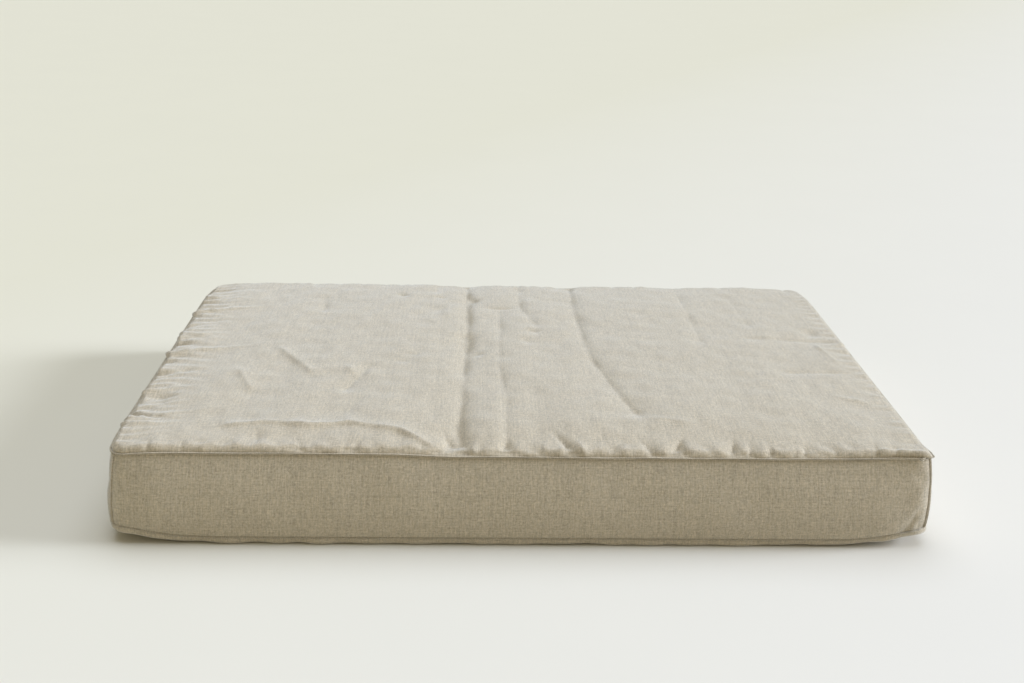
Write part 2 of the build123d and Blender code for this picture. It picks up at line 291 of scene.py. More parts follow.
def hold_lengths(points, rests, hold, shear_hold):
    """One pass over the threads of a grid in both directions and over both diagonals."""
    rest_s, rest_t, rest_d, rest_e = rests
    for odd in (0, 1):
        first, second = points[odd:-1:2], points[odd + 1::2]
        pull_apart(first, second, rest_s[odd::2], hold)
        pull_apart(points[:, odd:-1:2], points[:, odd + 1::2], rest_t[:, odd::2], hold)
        pull_apart(first[:, :-1], second[:, 1:], rest_d[odd::2], shear_hold)
        pull_apart(first[:, 1:], second[:, :-1], rest_e[odd::2], shear_hold)


def rest_lengths(target, slack_s, slack_t):
    """Thread lengths of a grid as it lies on its target, made longer by the local slack."""
    def reach(gap):
        return np.sqrt((gap**2).sum(-1))

    def cell_diagonal(sides_s, sides_t):
        return np.hypot((sides_s[:, 1:] + sides_s[:, :-1]) / 2, (sides_t[1:] + sides_t[:-1]) / 2)
    plain_s = reach(np.diff(target, axis=0))
    plain_t = reach(np.diff(target, axis=1))
    rest_s = plain_s * (1 + (slack_s[1:] + slack_s[:-1]) / 2)
    rest_t = plain_t * (1 + (slack_t[:, 1:] + slack_t[:, :-1]) / 2)
    scale = cell_diagonal(rest_s, rest_t) / cell_diagonal(plain_s, plain_t)
    return (rest_s, rest_t, reach(target[1:, 1:] - target[:-1, :-1]) * scale,
            reach(target[1:, :-1] - target[:-1, 1:]) * scale)


def bend_force(offset):
    """Grid curvature of the curvature of an offset field, which resists sharp bends."""
    def curve(field):
        around = np.pad(field, ((1, 1), (1, 1), (0, 0)), mode="edge")
        return -4 * field + around[:-2, 1:-1] + around[2:, 1:-1] + around[1:-1, :-2] + around[1:-1, 2:]
    return curve(curve(offset))


def relax(cloths, steps, support=0.0015, stiffness=0.002, hold=0.9, shear_hold=0.35, drag=0.85):
    """Lets slack cloth buckle on soft wadding.

    Each cloth is a dict with its target (the shape of the filling), its rest lengths and which
    points the seams hold. Slack makes it lift into puckers; the wadding pulls it back down.
    """
    for piece in cloths:
        piece["points"] = piece["target"] + piece["start"]
        piece["before"] = piece["points"].copy()
    for _ in range(steps):
        for piece in cloths:
            points, target = piece["points"], piece["target"]
            speed = (points - piece["before"]) * drag
            piece["before"] = points.copy()
            offset = points + speed - target
            points += speed - support * offset - stiffness * bend_force(offset)
            hold_lengths(points, piece["rests"], hold, shear_hold)
            held = piece["held"]
            points[held] = target[held]


# ---------------------------------------------------------------- shape of the cover
columns_x, columns_y, rows = 204, 189, 30


def outline_normal(normal):
    """Level outward direction from a panel's normals at its seam."""
    return unit(normal * (1, 1, 0))


# Each: which corner, how far it moves in x, y and z, and how far the move reaches.
top_corner_moves = [
    ((-1, 1), (0.005, -0.004, -0.002), 0.045),
    ((1, 1), (-0.005, -0.004, -0.002), 0.045),
    ((-1, -1), (0.001, 0.001, -0.0035), 0.035),
    ((1, -1), (0.0065, -0.0045, 0.001), 0.024),
]
foot_corner_moves = [
    ((-1, -1), (0.003, 0.001, 0.014), 0.062),
    ((1, -1), (0.000, 0.000, 0.015), 0.058),
    ((-1, 1), (0.003, -0.003, 0.012), 0.062),
    ((1, 1), (-0.003, -0.003, 0.010), 0.062),
]


def move_corners(points, moves, size):
    """Shifts the corners of a panel of the given half width and half length."""
    moved = points.copy()
    for corner_side, way, reach in moves:
        gap = np.hypot(points[..., 0] - corner_side[0] * size[0], points[..., 1] - corner_side[1] * size[1])
        moved += np.exp(-((gap / reach) ** 2))[..., None] * np.array(way)
    return moved


def crown_height(x, y):
    """How much the filling domes up over its middle."""
    return crown * (1 - (x / half_x) ** 4) * (1 - (y / half_y) ** 4)


def seam_dip(x, y):
    """The front seam hangs a little lower from left of its middle to the right."""
    across = smooth((x + 0.17) / 0.10) * (1 - 0.5 * smooth((x - 0.30) / 0.20))
    return 0.0030 * across * smooth(-y / half_y * 4 - 3)


def top_target():
    """The top panel as the filling shapes it, with a faint ripple; its creases are added later."""
    s, t = top_sheet.grid(columns_x, columns_y)
    plan, rise, normal, depth = top_sheet.wrap(s, t)
    height = top_seam + rise + crown_height(*plan) - seam_dip(*plan)
    relief = 0.0010 * ripple(plan[0], plan[1] * 0.6, 0.09, 3) * smooth(depth / 0.006)
    points = np.stack([plan[0], plan[1], height], -1) + normal * relief[..., None]
    points = move_corners(points, top_corner_moves, half)
    return points, s, t, depth, normal


def top_creases(s, t, depth, points):
    """Depth of the creases, dimples and seam pinches of the top panel."""
    relief = crease_relief(points[..., 0], points[..., 1], folds)
    for x, y, sink, size in dimples:
        relief -= sink * np.exp(-((points[..., 0] - x) ** 2 + ((points[..., 1] - y) * 0.7) ** 2) / size**2)
    for place, gap, puckers in (
        (s, t + flat_half_y, front_puckers),
        (s, flat_half_y - t, back_puckers),
        (t, s + flat_half_x, left_puckers),
        (t, flat_half_x - s, right_puckers),
    ):
        relief += pucker_relief(place, gap, puckers)
    relief += 0.0004 * ripple(points[..., 0], points[..., 1], 0.03, 4)
    sink_limit = deepest_by_seam + (deepest - deepest_by_seam) * smooth((depth - 0.010) / 0.020)
    relief = np.maximum(relief, -sink_limit) * smooth(depth / 0.006)
    # A slit between the top and the front lip, and the raised ear at the front right corner
    at_ear = smooth((s - 0.425) / 0.02) * smooth((0.506 - s) / 0.01)
    from_front = t + flat_half_y
    slit = 0.0010 * np.clip(ripple(s, t, 0.05, 43), 0, 1) * smooth(depth / 0.002) + 0.0024 * at_ear
    slit = slit * np.exp(-(((from_front - 0.0026) / 0.0014) ** 2))
    roll = 0.0030 * at_ear * np.exp(-(((from_front - 0.009) / 0.004) ** 2))
    return relief + roll - slit


def length_along(line):
    """Distance of each point of a line from its first point, measured along it in plan."""
    return np.concatenate([[0], np.cumsum(np.hypot(*np.diff(line[:, :2], axis=0).T))])


def band_target(seam_line, foot_line, outward, bulge, seed, creases=()):
    """A boxing strip between the bottom seam and the top seam, over the points of the top seam."""
    share = (graded(0.5, rows) + 0.5)[None, :]
    along = length_along(seam_line)
    along -= along[-1] / 2
    from_end = (along[-1] - np.abs(along))[:, None]
    fullness = corner_swell / bulge + (1 - corner_swell / bulge) * smooth(from_end / 0.07)
    foot_height = foot_line[:, 2][:, None]
    height = foot_height + (seam_line[:, 2][:, None] - foot_height) * share
    place = along[:, None] + 0 * share
    swell = bulge * np.sin(math.pi * share**0.85) ** 0.75 * fullness
    swell = swell + 0.0009 * ripple(place, height * 0.8, 0.10, seed) * np.sin(math.pi * share)
    swell = swell + crease_relief(place, height, creases, 0.015)
    points = foot_line[:, None] * (1 - share[..., None]) + seam_line[:, None] * share[..., None]
    points = points + outward[:, None] * swell[..., None]
    return points, place, height - bottom_seam


top, top_s, top_t, top_depth, top_normal = top_target()
slack_by_front = 0.020 * np.exp(-(top_t + flat_half_y) / 0.022)
slack_by_back = 0.012 * np.exp(-(flat_half_y - top_t) / 0.022)
slack_by_left = 0.035 * np.exp(-(top_s + flat_half_x) / 0.040)
slack_by_right = 0.016 * np.exp(-(flat_half_x - top_s) / 0.030)
seam_pinch = smooth(top_depth / 0.010)
top_cloth = {
    "target": top,
    "start": top_normal * (0.0006 * ripple(top_s, top_t, 0.016, 8) * seam_pinch)[..., None],
    "rests": rest_lengths(top, (slack_by_front + slack_by_back) * seam_pinch,
                          (slack_by_left + slack_by_right) * seam_pinch),
    "held": top_depth < on_seam,
}
top_outward = outline_normal(top_normal)
foot_sheet = Panel(foot_half, foot_corner, edge_radius)
foot = foot_sheet.wrap(*foot_sheet.grid(columns_x, columns_y))[0]
foot = np.stack([*foot, np.full(foot[0].shape, bottom_seam)], -1)
foot = move_corners(foot, foot_corner_moves, foot_half)


def side_line(name):
    """Top seam, bottom seam and outward directions of one side, from its left end to its right end."""
    cut = {"front": np.s_[:, 0], "right": np.s_[-1, :], "back": np.s_[::-1, -1], "left": np.s_[0, ::-1]}[name]
    return top[cut], foot[cut], top_outward[cut]


band_creases = {
    "front": [
        ([(0.490, 0.060), (0.470, 0.030), (0.455, 0.014)], 0.0018, 0.008, 0.006),
        ([(0.492, 0.040), (0.478, 0.018)], 0.0016, 0.006, 0.005),
        ([(0.470, 0.100), (0.493, 0.085)], 0.0014, 0.007, 0.006),
        ([(-0.486, 0.100), (-0.470, 0.070)], 0.0014, 0.007, 0.006),
        ([(-0.490, 0.050), (-0.462, 0.018)], 0.0016, 0.008, 0.006),
        ([(-0.452, 0.022), (-0.380, 0.016)], 0.0010, 0.006, 0.006),
    ],
    "right": [([(-0.340, 0.090), (-0.318, 0.060)], 0.0014, 0.007, 0.006)],
    "left": [([(0.318, 0.060), (0.340, 0.095)], 0.0014, 0.007, 0.006)],
}
bulges = {"front": 0.0085, "right": 0.0095, "left": 0.0095}
bands = {}
for number, side in enumerate(bulges):
    line, foot_line, outward = side_line(side)
    target, along, up = band_target(line, foot_line, outward, bulges[side], 20 + number, band_creases[side])
    edge = np.ones(target.shape[:2], bool)
    edge[1:-1, 1:-1] = False
    from_corner = along.max() - np.abs(along)
    by_seams = 0.010 * (np.exp(-up / 0.012) + np.exp(-(band_height - up) / 0.012))
    by_corners = 0.018 * np.exp(-from_corner / 0.015)
    inner = smooth(from_corner / 0.006) * smooth(up / 0.006) * smooth((band_height - up) / 0.006)
    bands[side] = {
        "target": target,
        "start": outward[:, None, :] * (0.0004 * ripple(along, up, 0.015, 30 + number) * inner)[..., None],
        "rests": rest_lengths(target, by_seams * inner, by_corners * inner),
        "held": edge,
        "along": along,
        "up": up,
        "outward": outward,
    }

relax([top_cloth, *bands.values()], 200)


def with_middles(field):
    """A grid with a new column between each two, on a smooth curve through its neighbours."""
    around = np.concatenate([field[:1] * 2 - field[1:2], field, field[-1:] * 2 - field[-2:-1]])
    middle = (9 * (around[1:-2] + around[2:-1]) - around[:-3] - around[3:]) / 16
    finer = np.empty((2 * len(field) - 1, *field.shape[1:]))
    finer[::2] = field
    finer[1::2] = middle
    return finer


fine_s, fine_t = with_middles(top_s), with_middles(top_t)
_, _, fine_normal, fine_depth = top_sheet.wrap(fine_s, fine_t)
fine_top = with_middles(top_cloth["points"])
fine_top += fine_normal * top_creases(fine_s, fine_t, fine_depth, fine_top)[..., None]
fine_outward = outline_normal(fine_normal)


# ---------------------------------------------------------------- materials
def sum_node(operation, swapped=False):
    """An operator of a Value, made as a math node."""
    def apply(value, other):
        first, second = (other, value) if swapped else (value, other)
        return value.shader.math(operation, first, second)
    return apply


class Value:
    """What a node gives, so that a material's sums can be written as sums."""

    def __init__(self, shader, socket):
        self.shader, self.socket = shader, socket

    __add__ = __radd__ = sum_node("ADD")
    __sub__ = sum_node("SUBTRACT")
    __rsub__ = sum_node("SUBTRACT", swapped=True)
    __mul__ = __rmul__ = sum_node("MULTIPLY")
    __truediv__ = sum_node("DIVIDE")


class Shader:
    """A node material, built one node at a time."""

    def __init__(self, name):
        self.material = bpy.data.materials.new(name)
        self.material.use_nodes = True
        self.nodes = self.material.node_tree.nodes
        self.links = self.material.node_tree.links
        self.surface = self.nodes["Principled BSDF"]

    def set(self, node, name, value):
        """Sets an input to a number or a colour, or links it to another node's value."""
        if isinstance(value, Value):
            self.links.new(value.socket, node.inputs[name])
        else:
            node.inputs[name].default_value = value

    def add(self, kind, inputs, result=0, **settings):
        node = self.nodes.new(kind)
        for name, value in settings.items():
            setattr(node, name, value)
        for name, value in inputs.items():
            self.set(node, name, value)
        return Value(self, node.outputs[result])

    def math(self, operation, first, second=0.0):
        return self.add("ShaderNodeMath", {0: first, 1: second}, operation=operation)

    def scale(self, vector, x, y=None, z=None):
        """A vector times one factor, or times one factor for each axis."""
        factors = (x, x if y is None else y, x if z is None else z)
        return self.add("ShaderNodeVectorMath", {0: vector, 1: factors}, operation="MULTIPLY")

    def noise(self, vector, scale=1.0, detail=2.0, roughness=0.5):
        inputs = {"Vector": vector, "Scale": scale, "Detail": detail, "Roughness": roughness}
        return self.add("ShaderNodeTexNoise", inputs)

    def random(self, value):
        return self.add("ShaderNodeTexWhiteNoise", {"W": value}, noise_dimensions="1D")

    def flat_place(self):
        """Place on the flat cloth in millimetres, so that the weave follows the cut of the cloth."""
        return self.scale(self.add("ShaderNodeAttribute", {}, "Vector", attribute_name="flat"), 1000)

    def object_place(self):
        """Place in the object in millimetres."""
        return self.scale(self.add("ShaderNodeTexCoord", {}, "Object"), 1000)

    def parts(self, vector):
        node = self.add("ShaderNodeSeparateXYZ", {0: vector}).socket.node
        return [Value(self, socket) for socket in node.outputs]

    def tone(self, base, strength):
        """A colour made lighter or darker by a factor."""
        return self.add("ShaderNodeVectorMath", {0: base, "Scale": strength}, operation="SCALE")

    def mix(self, factor, first, second):
        return self.add("ShaderNodeMix", {0: factor, 6: first, 7: second}, 2, data_type="RGBA")

    def finish(self, color, roughness, height=None, depth=0.0, **more):
        """Feeds the surface: colour, roughness, a bump of the given depth in metres, and named inputs."""
        self.set(self.surface, "Base Color", color)
        self.set(self.surface, "Roughness", roughness)
        if height is not None:
            bump = self.add("ShaderNodeBump", {"Height": height, "Distance": depth, "Strength": 1.0})
            self.set(self.surface, "Normal", bump)
        for name, value in more.items():
            self.set(self.surface, name.replace("_", " "), value)
        return self.material


def weave(shader, pitch, wander, tone_spread, slub_spread):
    """Plain weave: returns the height of the yarns, how light each one is and the place on the cloth."""
    place = shader.flat_place()
    s, t, _ = shader.parts(place)
    shift = (shader.noise(shader.scale(place, 0.02), 5.0) - 0.5) * wander
    s, t = s + shift, t - shift
    numbers, bows = [], []
    for across in (s / pitch, t / pitch):
        numbers.append(shader.math("FLOOR", across))
        bows.append(shader.math("ABSOLUTE", shader.math("SINE", across * math.pi)))
    over = shader.math("MODULO", shader.math("ABSOLUTE", numbers[0] + numbers[1]), 2.0)
    under = 1.0 - over
    tones = []
    for number, other, seed in ((numbers[0], t, 3.7), (numbers[1], s, 91.3)):
        own = shader.random(number + seed) - 0.5
        line = shader.add("ShaderNodeCombineXYZ", {0: number * 7.31, 1: other * 0.13, 2: seed})
        slub = shader.noise(line, 1.0, 3.0, 0.65) - 0.5
        tones.append(own * tone_spread + slub * slub_spread)
    light = over * tones[0] + under * tones[1] + (tones[0] + tones[1]) * 0.35
    return over * bows[0] + under * bows[1], light, place


def make_linen():
    """Natural linen: pale flax yarns of uneven tone, with painted shade darkening the dips between them."""
    shader = Shader("linen")
    height, light, place = weave(shader, 1.15, 0.9, 0.09, 0.40)
    mottle = shader.noise(shader.scale(place, 0.36), 1.0, 3.0, 0.7) - 0.5
    for stretch, share in (((0.70, 0.07, 0.5), 0.62), ((0.07, 0.70, 0.5), 0.42), ((0.30, 0.018, 0.5), 0.28)):
        mottle = mottle + (shader.noise(shader.scale(place, *stretch), 1.0, 2.0, 0.6) - 0.5) * share
    # The yarn height term is painted shade: darker where the weave dips between yarns.
    strength = 1.0 + light + (height - 0.64) * 0.42 + mottle
    fleck = shader.noise(shader.scale(place, 0.5, 0.12, 0.5))
    flax = shader.mix(fleck, (0.482, 0.432, 0.342, 1.0), (0.450, 0.374, 0.252, 1.0))
    return shader.finish(shader.tone(flax, strength), 0.86, height + light * 0.8, 0.00009,
                         Sheen_Weight=0.62, Sheen_Roughness=0.42, Sheen_Tint=(0.88, 0.95, 1.0, 1.0))


def make_calico():
    """Unbleached calico of the inner case, with seed flecks."""
    shader = Shader("calico")
    height, light, place = weave(shader, 0.6, 0.4, 0.10, 0.16)
    fleck = shader.math("GREATER_THAN", shader.noise(shader.scale(place, 0.6), 1.0, 1.0), 0.77)
    color = shader.mix(fleck * 0.5, (0.68, 0.63, 0.52, 1.0), (0.30, 0.22, 0.13, 1.0))
    return shader.finish(shader.tone(color, 1.0 + light), 0.9, height, 0.0001,
                         Sheen_Weight=0.2, Sheen_Roughness=0.5)


def make_wadding():
    """Fibrous polyester wadding: soft white with tangled strands."""
    shader = Shader("wadding")
    place = shader.flat_place()
    tangle = shader.noise(shader.scale(place, 0.5), 1.0, 6.0, 0.7)
    strand = shader.noise(shader.scale(place, 2.4, 0.3, 1.0), 1.0, 3.0, 0.6)
    return shader.finish(shader.tone((0.84, 0.84, 0.82), 0.86 + tangle * 0.28), 0.95, tangle + strand * 0.6,
                         0.0012, Sheen_Weight=0.5, Sheen_Roughness=0.6)


def make_foam():
    """Open-cell upholstery foam, yellowish, with fine pores."""
    shader = Shader("foam")
    cells = shader.add("ShaderNodeTexVoronoi", {"Vector": shader.object_place(), "Scale": 0.9})
    tint = shader.noise(shader.object_place(), 0.01, 3.0)
    color = shader.mix(tint, (0.80, 0.74, 0.52, 1.0), (0.84, 0.79, 0.60, 1.0))
    # Painted shade in the pores: the colour darkens where the cell bump dips.
    return shader.finish(shader.tone(color, 0.72 + cells * 0.45), 0.92, cells, 0.0006)


def make_thread():
    """Twisted sewing thread, its twist crossing each stitch."""
    shader = Shader("thread")
    s, t, _ = shader.parts(shader.flat_place())
    twist = shader.math("SINE", s * 9.0 + t * 14.0)
    own = shader.random(shader.math("FLOOR", s / 3.2)) * 0.14
    return shader.finish(shader.tone((0.60, 0.55, 0.45), 0.90 + own + twist * 0.07), 0.7, twist, 0.00005,
                         Sheen_Weight=0.3, Sheen_Roughness=0.4)


def make_tape():
    """Woven zip tape: a fine herringbone across its width."""
    shader = Shader("zip_tape")
    place = shader.object_place()
    x, _, z = shader.parts(place)
    rib = shader.math("SINE", (x + shader.math("PINGPONG", z, 1.6)) * 7.0)
    yarn = shader.noise(shader.scale(place, 3.0, 1.0, 0.4))
    color = shader.tone((0.44, 0.385, 0.295), 0.84 + rib * 0.08 + yarn * 0.24)
    return shader.finish(color, 0.8, rib, 0.00008, Sheen_Weight=0.15, Sheen_Roughness=0.5)


def make_nylon():
    """Moulded nylon filament of the zip's teeth."""
    shader = Shader("zip_nylon")
    cloud = shader.noise(shader.object_place(), 0.8)
    color = shader.tone((0.43, 0.375, 0.285), 0.88 + cloud * 0.24)
    return shader.finish(color, 0.28 + cloud * 0.16, cloud, 0.00003)


def make_brass():
    """Antique brass: worn lighter where it is rubbed, darker in the pits."""
    shader = Shader("zip_metal")
    place = shader.object_place()
    patina = shader.noise(place, 0.55, 6.0, 0.65)
    scratch = shader.noise(shader.scale(place, 0.6, 6.0, 6.0), 1.0, 3.0)
    color = shader.mix(patina * 1.8 - 0.4, (0.20, 0.145, 0.075, 1.0), (0.56, 0.43, 0.22, 1.0))
    return shader.finish(color, 0.24 + scratch * 0.30, scratch, 0.00002, Metallic=1.0)


# ---------------------------------------------------------------- meshes
def grid_normals(points):
    """Unit normals of a grid of points, by its two directions."""
    return unit(np.cross(np.gradient(points, axis=0), np.gradient(points, axis=1)))


def grid_faces(number):
    """Quads between the point numbers of a grid."""
    return np.stack([number[:-1, :-1], number[1:, :-1], number[1:, 1:], number[:-1, 1:]], -1).reshape(-1, 4)


def border(grid):
    """What a grid holds round its border."""
    return np.concatenate([grid[:, 0], grid[-1, 1:], grid[-2::-1, -1], grid[0, -2:0:-1]])


def border_loop(grid):
    """What a grid holds round its border, ending where it began."""
    return np.concatenate([border(grid), grid[:1, 0]])


def add_object(name, points, face_groups, material, flat=None):
    """A smooth mesh object from groups of faces, with the flat cloth place of each point for its weave."""
    mesh = bpy.data.meshes.new(name)
    mesh.vertices.add(len(points))
    mesh.vertices.foreach_set("co", np.ascontiguousarray(points, np.float32).ravel())
    sizes = np.concatenate([np.full(len(faces), faces.shape[1]) for faces in face_groups])
    corners = np.concatenate([faces.ravel() for faces in face_groups])
    mesh.loops.add(len(corners))
    mesh.loops.foreach_set("vertex_index", corners.astype(np.int32))
    mesh.polygons.add(len(sizes))
    mesh.polygons.foreach_set("loop_start", (np.cumsum(sizes) - sizes).astype(np.int32))
    mesh.update(calc_edges=True)
    mesh.validate()
    mesh.polygons.foreach_set("use_smooth", np.ones(len(mesh.polygons), bool))
    if flat is not None:
        place = mesh.attributes.new("flat", "FLOAT_VECTOR", "POINT")
        place.data.foreach_set("vector", np.ascontiguousarray(flat, np.float32).ravel())
    mesh.materials.append(material)
    thing = bpy.data.objects.new(name, mesh)
    bpy.context.collection.objects.link(thing)
    return thing


def add_lips(points, flat, ways, lips):
    """Adds two rows of cloth beyond each border that has a seam lip.

    ways are the lips' directions and lips their lengths, at the low and high end of the first
    grid direction and then of the second. A length of 0 adds nothing.
    """
    pads = [2 if lip else 0 for lip in lips]
    grown = np.pad(points, (pads[:2], pads[2:], (0, 0)), mode="edge")
    grown_flat = np.pad(flat, (pads[:2], pads[2:], (0, 0)), mode="edge")
    shares = ((0, 1.0), (1, 0.5))
    for side, (way, lip) in enumerate(zip(ways, lips)):
        axis, end = divmod(side, 2)
        long_way = np.pad(way, (pads[2:] if axis == 0 else pads[:2], (0, 0)), mode="edge")
        for ring, share in shares if lip else ():
            at = -1 - ring if end else ring
            row, place = (grown[at], grown_flat[at]) if axis == 0 else (grown[:, at], grown_flat[:, at])
            row += long_way * lip * share
            place[:, axis] += lip * share * (2 * end - 1)
    ends = (0, 1)
    for end_s, end_t, (ring_s, share_s), (ring_t, share_t) in itertools.product(ends, ends, shares, shares):
        if lips[end_s] and lips[2 + end_t]:
            reach_s = ways[end_s][-end_t] * lips[end_s] * share_s
            reach_t = ways[2 + end_t][-end_s] * lips[2 + end_t] * share_t
            reach = (reach_s + reach_t) / (share_s + share_t) * max(share_s, share_t)
            at = (-1 - ring_s if end_s else ring_s, -1 - ring_t if end_t else ring_t)
            grown[at] = points[-end_s, -end_t] + reach
    return grown, grown_flat


def halved(grid):
    """A grid with a new row halfway between each two, first in one direction and then in the other."""
    for _ in range(2):
        finer = np.empty((2 * len(grid) - 1, *grid.shape[1:]))
        finer[::2] = grid
        finer[1::2] = (grid[1:] + grid[:-1]) / 2
        grid = finer.swapaxes(0, 1)
    return grid


def coarse_below(upper, lower, gap):
    """Every second point of the lower grid, sunk until the faces between them clear the upper grid."""
    down = -grid_normals(upper)
    coarse = lower[::2, ::2].copy()
    for _ in range(3):
        short = np.maximum(gap - ((halved(coarse) - upper) * down).sum(-1), 0)
        around = np.pad(short, 1)
        shifts = [around[i:i + len(upper), j:j + upper.shape[1]] for i in range(3) for j in range(3)]
        coarse += down[::2, ::2] * np.max(shifts, axis=0)[::2, ::2, None]
    return coarse


def closed_between(name, upper, lower, flat, material, coarse=False):
    """A closed mesh between two matching grids: the outer one faces up, the inner one down.

    A coarse inner grid keeps only every second point, because it is never seen.
    """
    skip = 2 if coarse else 1
    if coarse:
        lower = coarse_below(upper, lower, cloth / 2)
    outer = np.arange(upper[..., 0].size).reshape(upper.shape[:2])
    inner = np.arange(lower[..., 0].size).reshape(lower.shape[:2]) + outer.size
    rim, inner_rim = border(outer), border(inner)
    after, inner_after = np.roll(rim, -1), np.roll(inner_rim, -1)
    faces = [grid_faces(outer), grid_faces(inner)[:, ::-1],
             np.stack([after[skip - 1::skip], rim[skip - 1::skip], inner_rim, inner_after], -1)]
    if coarse:
        faces.append(np.stack([after[::skip], rim[::skip], inner_rim], -1))
    points = np.concatenate([upper.reshape(-1, 3), lower.reshape(-1, 3)])
    places = np.concatenate([flat.reshape(-1, 3), flat[::skip, ::skip].reshape(-1, 3)])
    return add_object(name, points, faces, material, places)


def cloth_shell(name, points, flat, thickness, material, flip=False, coarse=False):
    """A closed thin shell of cloth: its outer face, its inner face and the cut edge between."""
    if flip:
        points, flat = points[::-1], flat[::-1]
    step = grid_normals(points) * thickness / 2
    return closed_between(name, points + step, points - step, flat, material, coarse)


# ---------------------------------------------------------------- threads and wires
def rings_round(middles, aside, out, radius):
    """Rings of six points round the middles, in the plane of two directions."""
    turn = np.arange(6)[:, None] * math.pi / 3
    around = aside[..., None, :] * np.cos(turn) + out[..., None, :] * np.sin(turn)
    return middles[..., None, :] + around * radius


def add_rounds(name, rings, material, places):
    """Round bodies with closed ends; each is a row of rings of six points."""
    number = np.arange(rings[..., 0].size).reshape(rings.shape[:3])
    around = np.roll(number, -1, axis=2)
    walls = np.stack([number[:, :-1], number[:, 1:], around[:, 1:], around[:, :-1]], -1).reshape(-1, 4)
    first, last = number[:, 0], number[:, -1]
    caps = [first[:, [0, 1, 2, 3]], first[:, [0, 3, 4, 5]], last[:, [3, 2, 1, 0]], last[:, [5, 4, 3, 0]]]
    return add_object(name, rings.reshape(-1, 3), [walls, *caps], material, places.reshape(-1, 3))


stitch_pitch = 0.0032
stitch_length = 0.0026
stitch_radius = 0.00026
stitch_lift = cloth / 2 + 0.0001
# Each ring of a stitch: its share of the length, its size, and how far it stands out, in radii.
stitch_rings = [(-0.5, 0.3, -0.8), (-0.32, 0.95, 0.0), (0, 1.0, 0.25), (0.32, 0.95, 0.0), (0.5, 0.3, -0.8)]


def stitches(name, path, up):
    """A row of separate raised stitches along a path; up is the way out of the cloth at each point."""
    walked = np.concatenate([[0], np.cumsum(np.linalg.norm(np.diff(path, axis=0), axis=1))])
    count = int(walked[-1] / stitch_pitch)
    at = (np.arange(count) + 0.5) * walked[-1] / count

    def along(values, place):
        return np.stack([np.interp(place, walked, values[:, axis]) for axis in range(3)], -1)
    way = unit(along(path, at + stitch_length / 2) - along(path, at - stitch_length / 2))
    out = unit(along(up, at))
    rings = []
    for share, size, rise in stitch_rings:
        middle = along(path, at) + way * share * stitch_length + out * rise * stitch_radius
        rings.append(rings_round(middle, np.cross(way, out), out, stitch_radius * size))
    rings = np.stack(rings, 1)
    length = np.broadcast_to(at[:, None, None], rings.shape[:3])
    places = np.stack([length, rings[..., 2], rings[..., 0]], -1)
    return add_rounds(name, rings, materials["thread"], places)


def wire(name, path, radius, material):
    """A round wire along a path of points."""
    way = unit(np.gradient(path, axis=0))
    aside = unit(np.cross(way, (1.0, 0.0, 0.0)))
    rings = rings_round(path, aside, np.cross(aside, way), radius)
    return add_rounds(name, rings[None], material, rings)


# ---------------------------------------------------------------- the cover's pieces
materials = {
    "linen": make_linen(), "thread": make_thread(), "calico": make_calico(), "wadding": make_wadding(),
    "foam": make_foam(), "zip_tape": make_tape(), "zip_nylon": make_nylon(), "zip_metal": make_brass(),
}


def belongs(piece, node):
    """The piece stands for a CAD node of the cushion body: it is attached to that body and the node is
    hidden.
    """
    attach(piece, "cushion")
    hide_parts(node)


def add_sheet(name, node, slot, thickness, points, places, flat, rests_on="wadding_top", held="stretched",
              **shell):
    """A sheet of the cushion, built as a closed cloth shell; flat, the size it was cut to, is not used."""
    piece = cloth_shell(name, points, places, thickness, materials[slot], **shell)
    belongs(piece, node)


def flat_grid(s, t):
    return np.stack([s, t, 0 * s], -1)


def lip_ways(place, outward):
    """Direction of the top seam's lip: level to slightly raised, and up at the front right corner."""
    raised = 0.30 + 0.14 * ripple(place[..., 0], place[..., 1], 0.12, 41)
    at_ear = smooth((place[..., 0] - 0.43) / 0.03) * smooth((-place[..., 1] - 0.30) / 0.03)
    return unit(outward + (raised + 0.45 * at_ear)[..., None] * np.array([0, 0, 1]))


up_step = np.array([0, 0, lip_apart])
low_lip_fall = np.array([0, 0, -0.3])


def border_ways(ways):
    """Lip directions of a panel's four borders, spread apart where two borders meet at a corner."""
    sides = [ways[0].copy(), ways[-1].copy(), ways[:, 0].copy(), ways[:, -1].copy()]
    for side, out in zip(sides, ((-1, 0, 0), (1, 0, 0), (0, -1, 0), (0, 1, 0))):
        side[[0, -1]] = unit(side[[0, -1]] + 0.5 * np.array(out))
    return sides


def lipped_band(points, along, up, line, outward, low_lip=True, high_lip=True):
    """A band with its seam lips: upright ones at its ends, level ones where it meets the panels."""
    moved = points.copy()
    moved[0] += unit((line[1] - line[0]) * (1, 1, 0)) * lip_apart
    moved[-1] += unit((line[-2] - line[-1]) * (1, 1, 0)) * lip_apart
    moved[:, 0] += low_lip * up_step
    moved[:, -1] -= high_lip * up_step
    tall = points.shape[1]
    ways = [np.tile(outward[0], (tall, 1)), np.tile(outward[-1], (tall, 1)),
            outward + low_lip_fall, lip_ways(line, outward)]
    lips = (end_lip_length, end_lip_length, low_lip * low_lip_length, high_lip * lip_length)
    return add_lips(moved, flat_grid(along, up), ways, lips)


# Top panel
raised_top = fine_top.copy()
raised_top[fine_depth < on_seam] += up_step
top_ways = lip_ways(fine_top, fine_outward)
add_sheet("top_panel", "cover_top_panel", "linen", cloth,
          *add_lips(raised_top, flat_grid(fine_s, fine_t), border_ways(top_ways), [lip_length] * 4),
          flat=(2 * (flat_half_x + lip_length), 2 * (flat_half_y + lip_length)), coarse=True)

# Front, right and left bands
for side, band in bands.items():
    line, _, outward = side_line(side)
    add_sheet(f"{side}_band", f"cover_{side}_band", "linen", cloth,
              *lipped_band(band["points"], band["along"], band["up"], line, outward),
              flat=(2 * (band["along"].max() + end_lip_length), band_height + low_lip_length + lip_length))

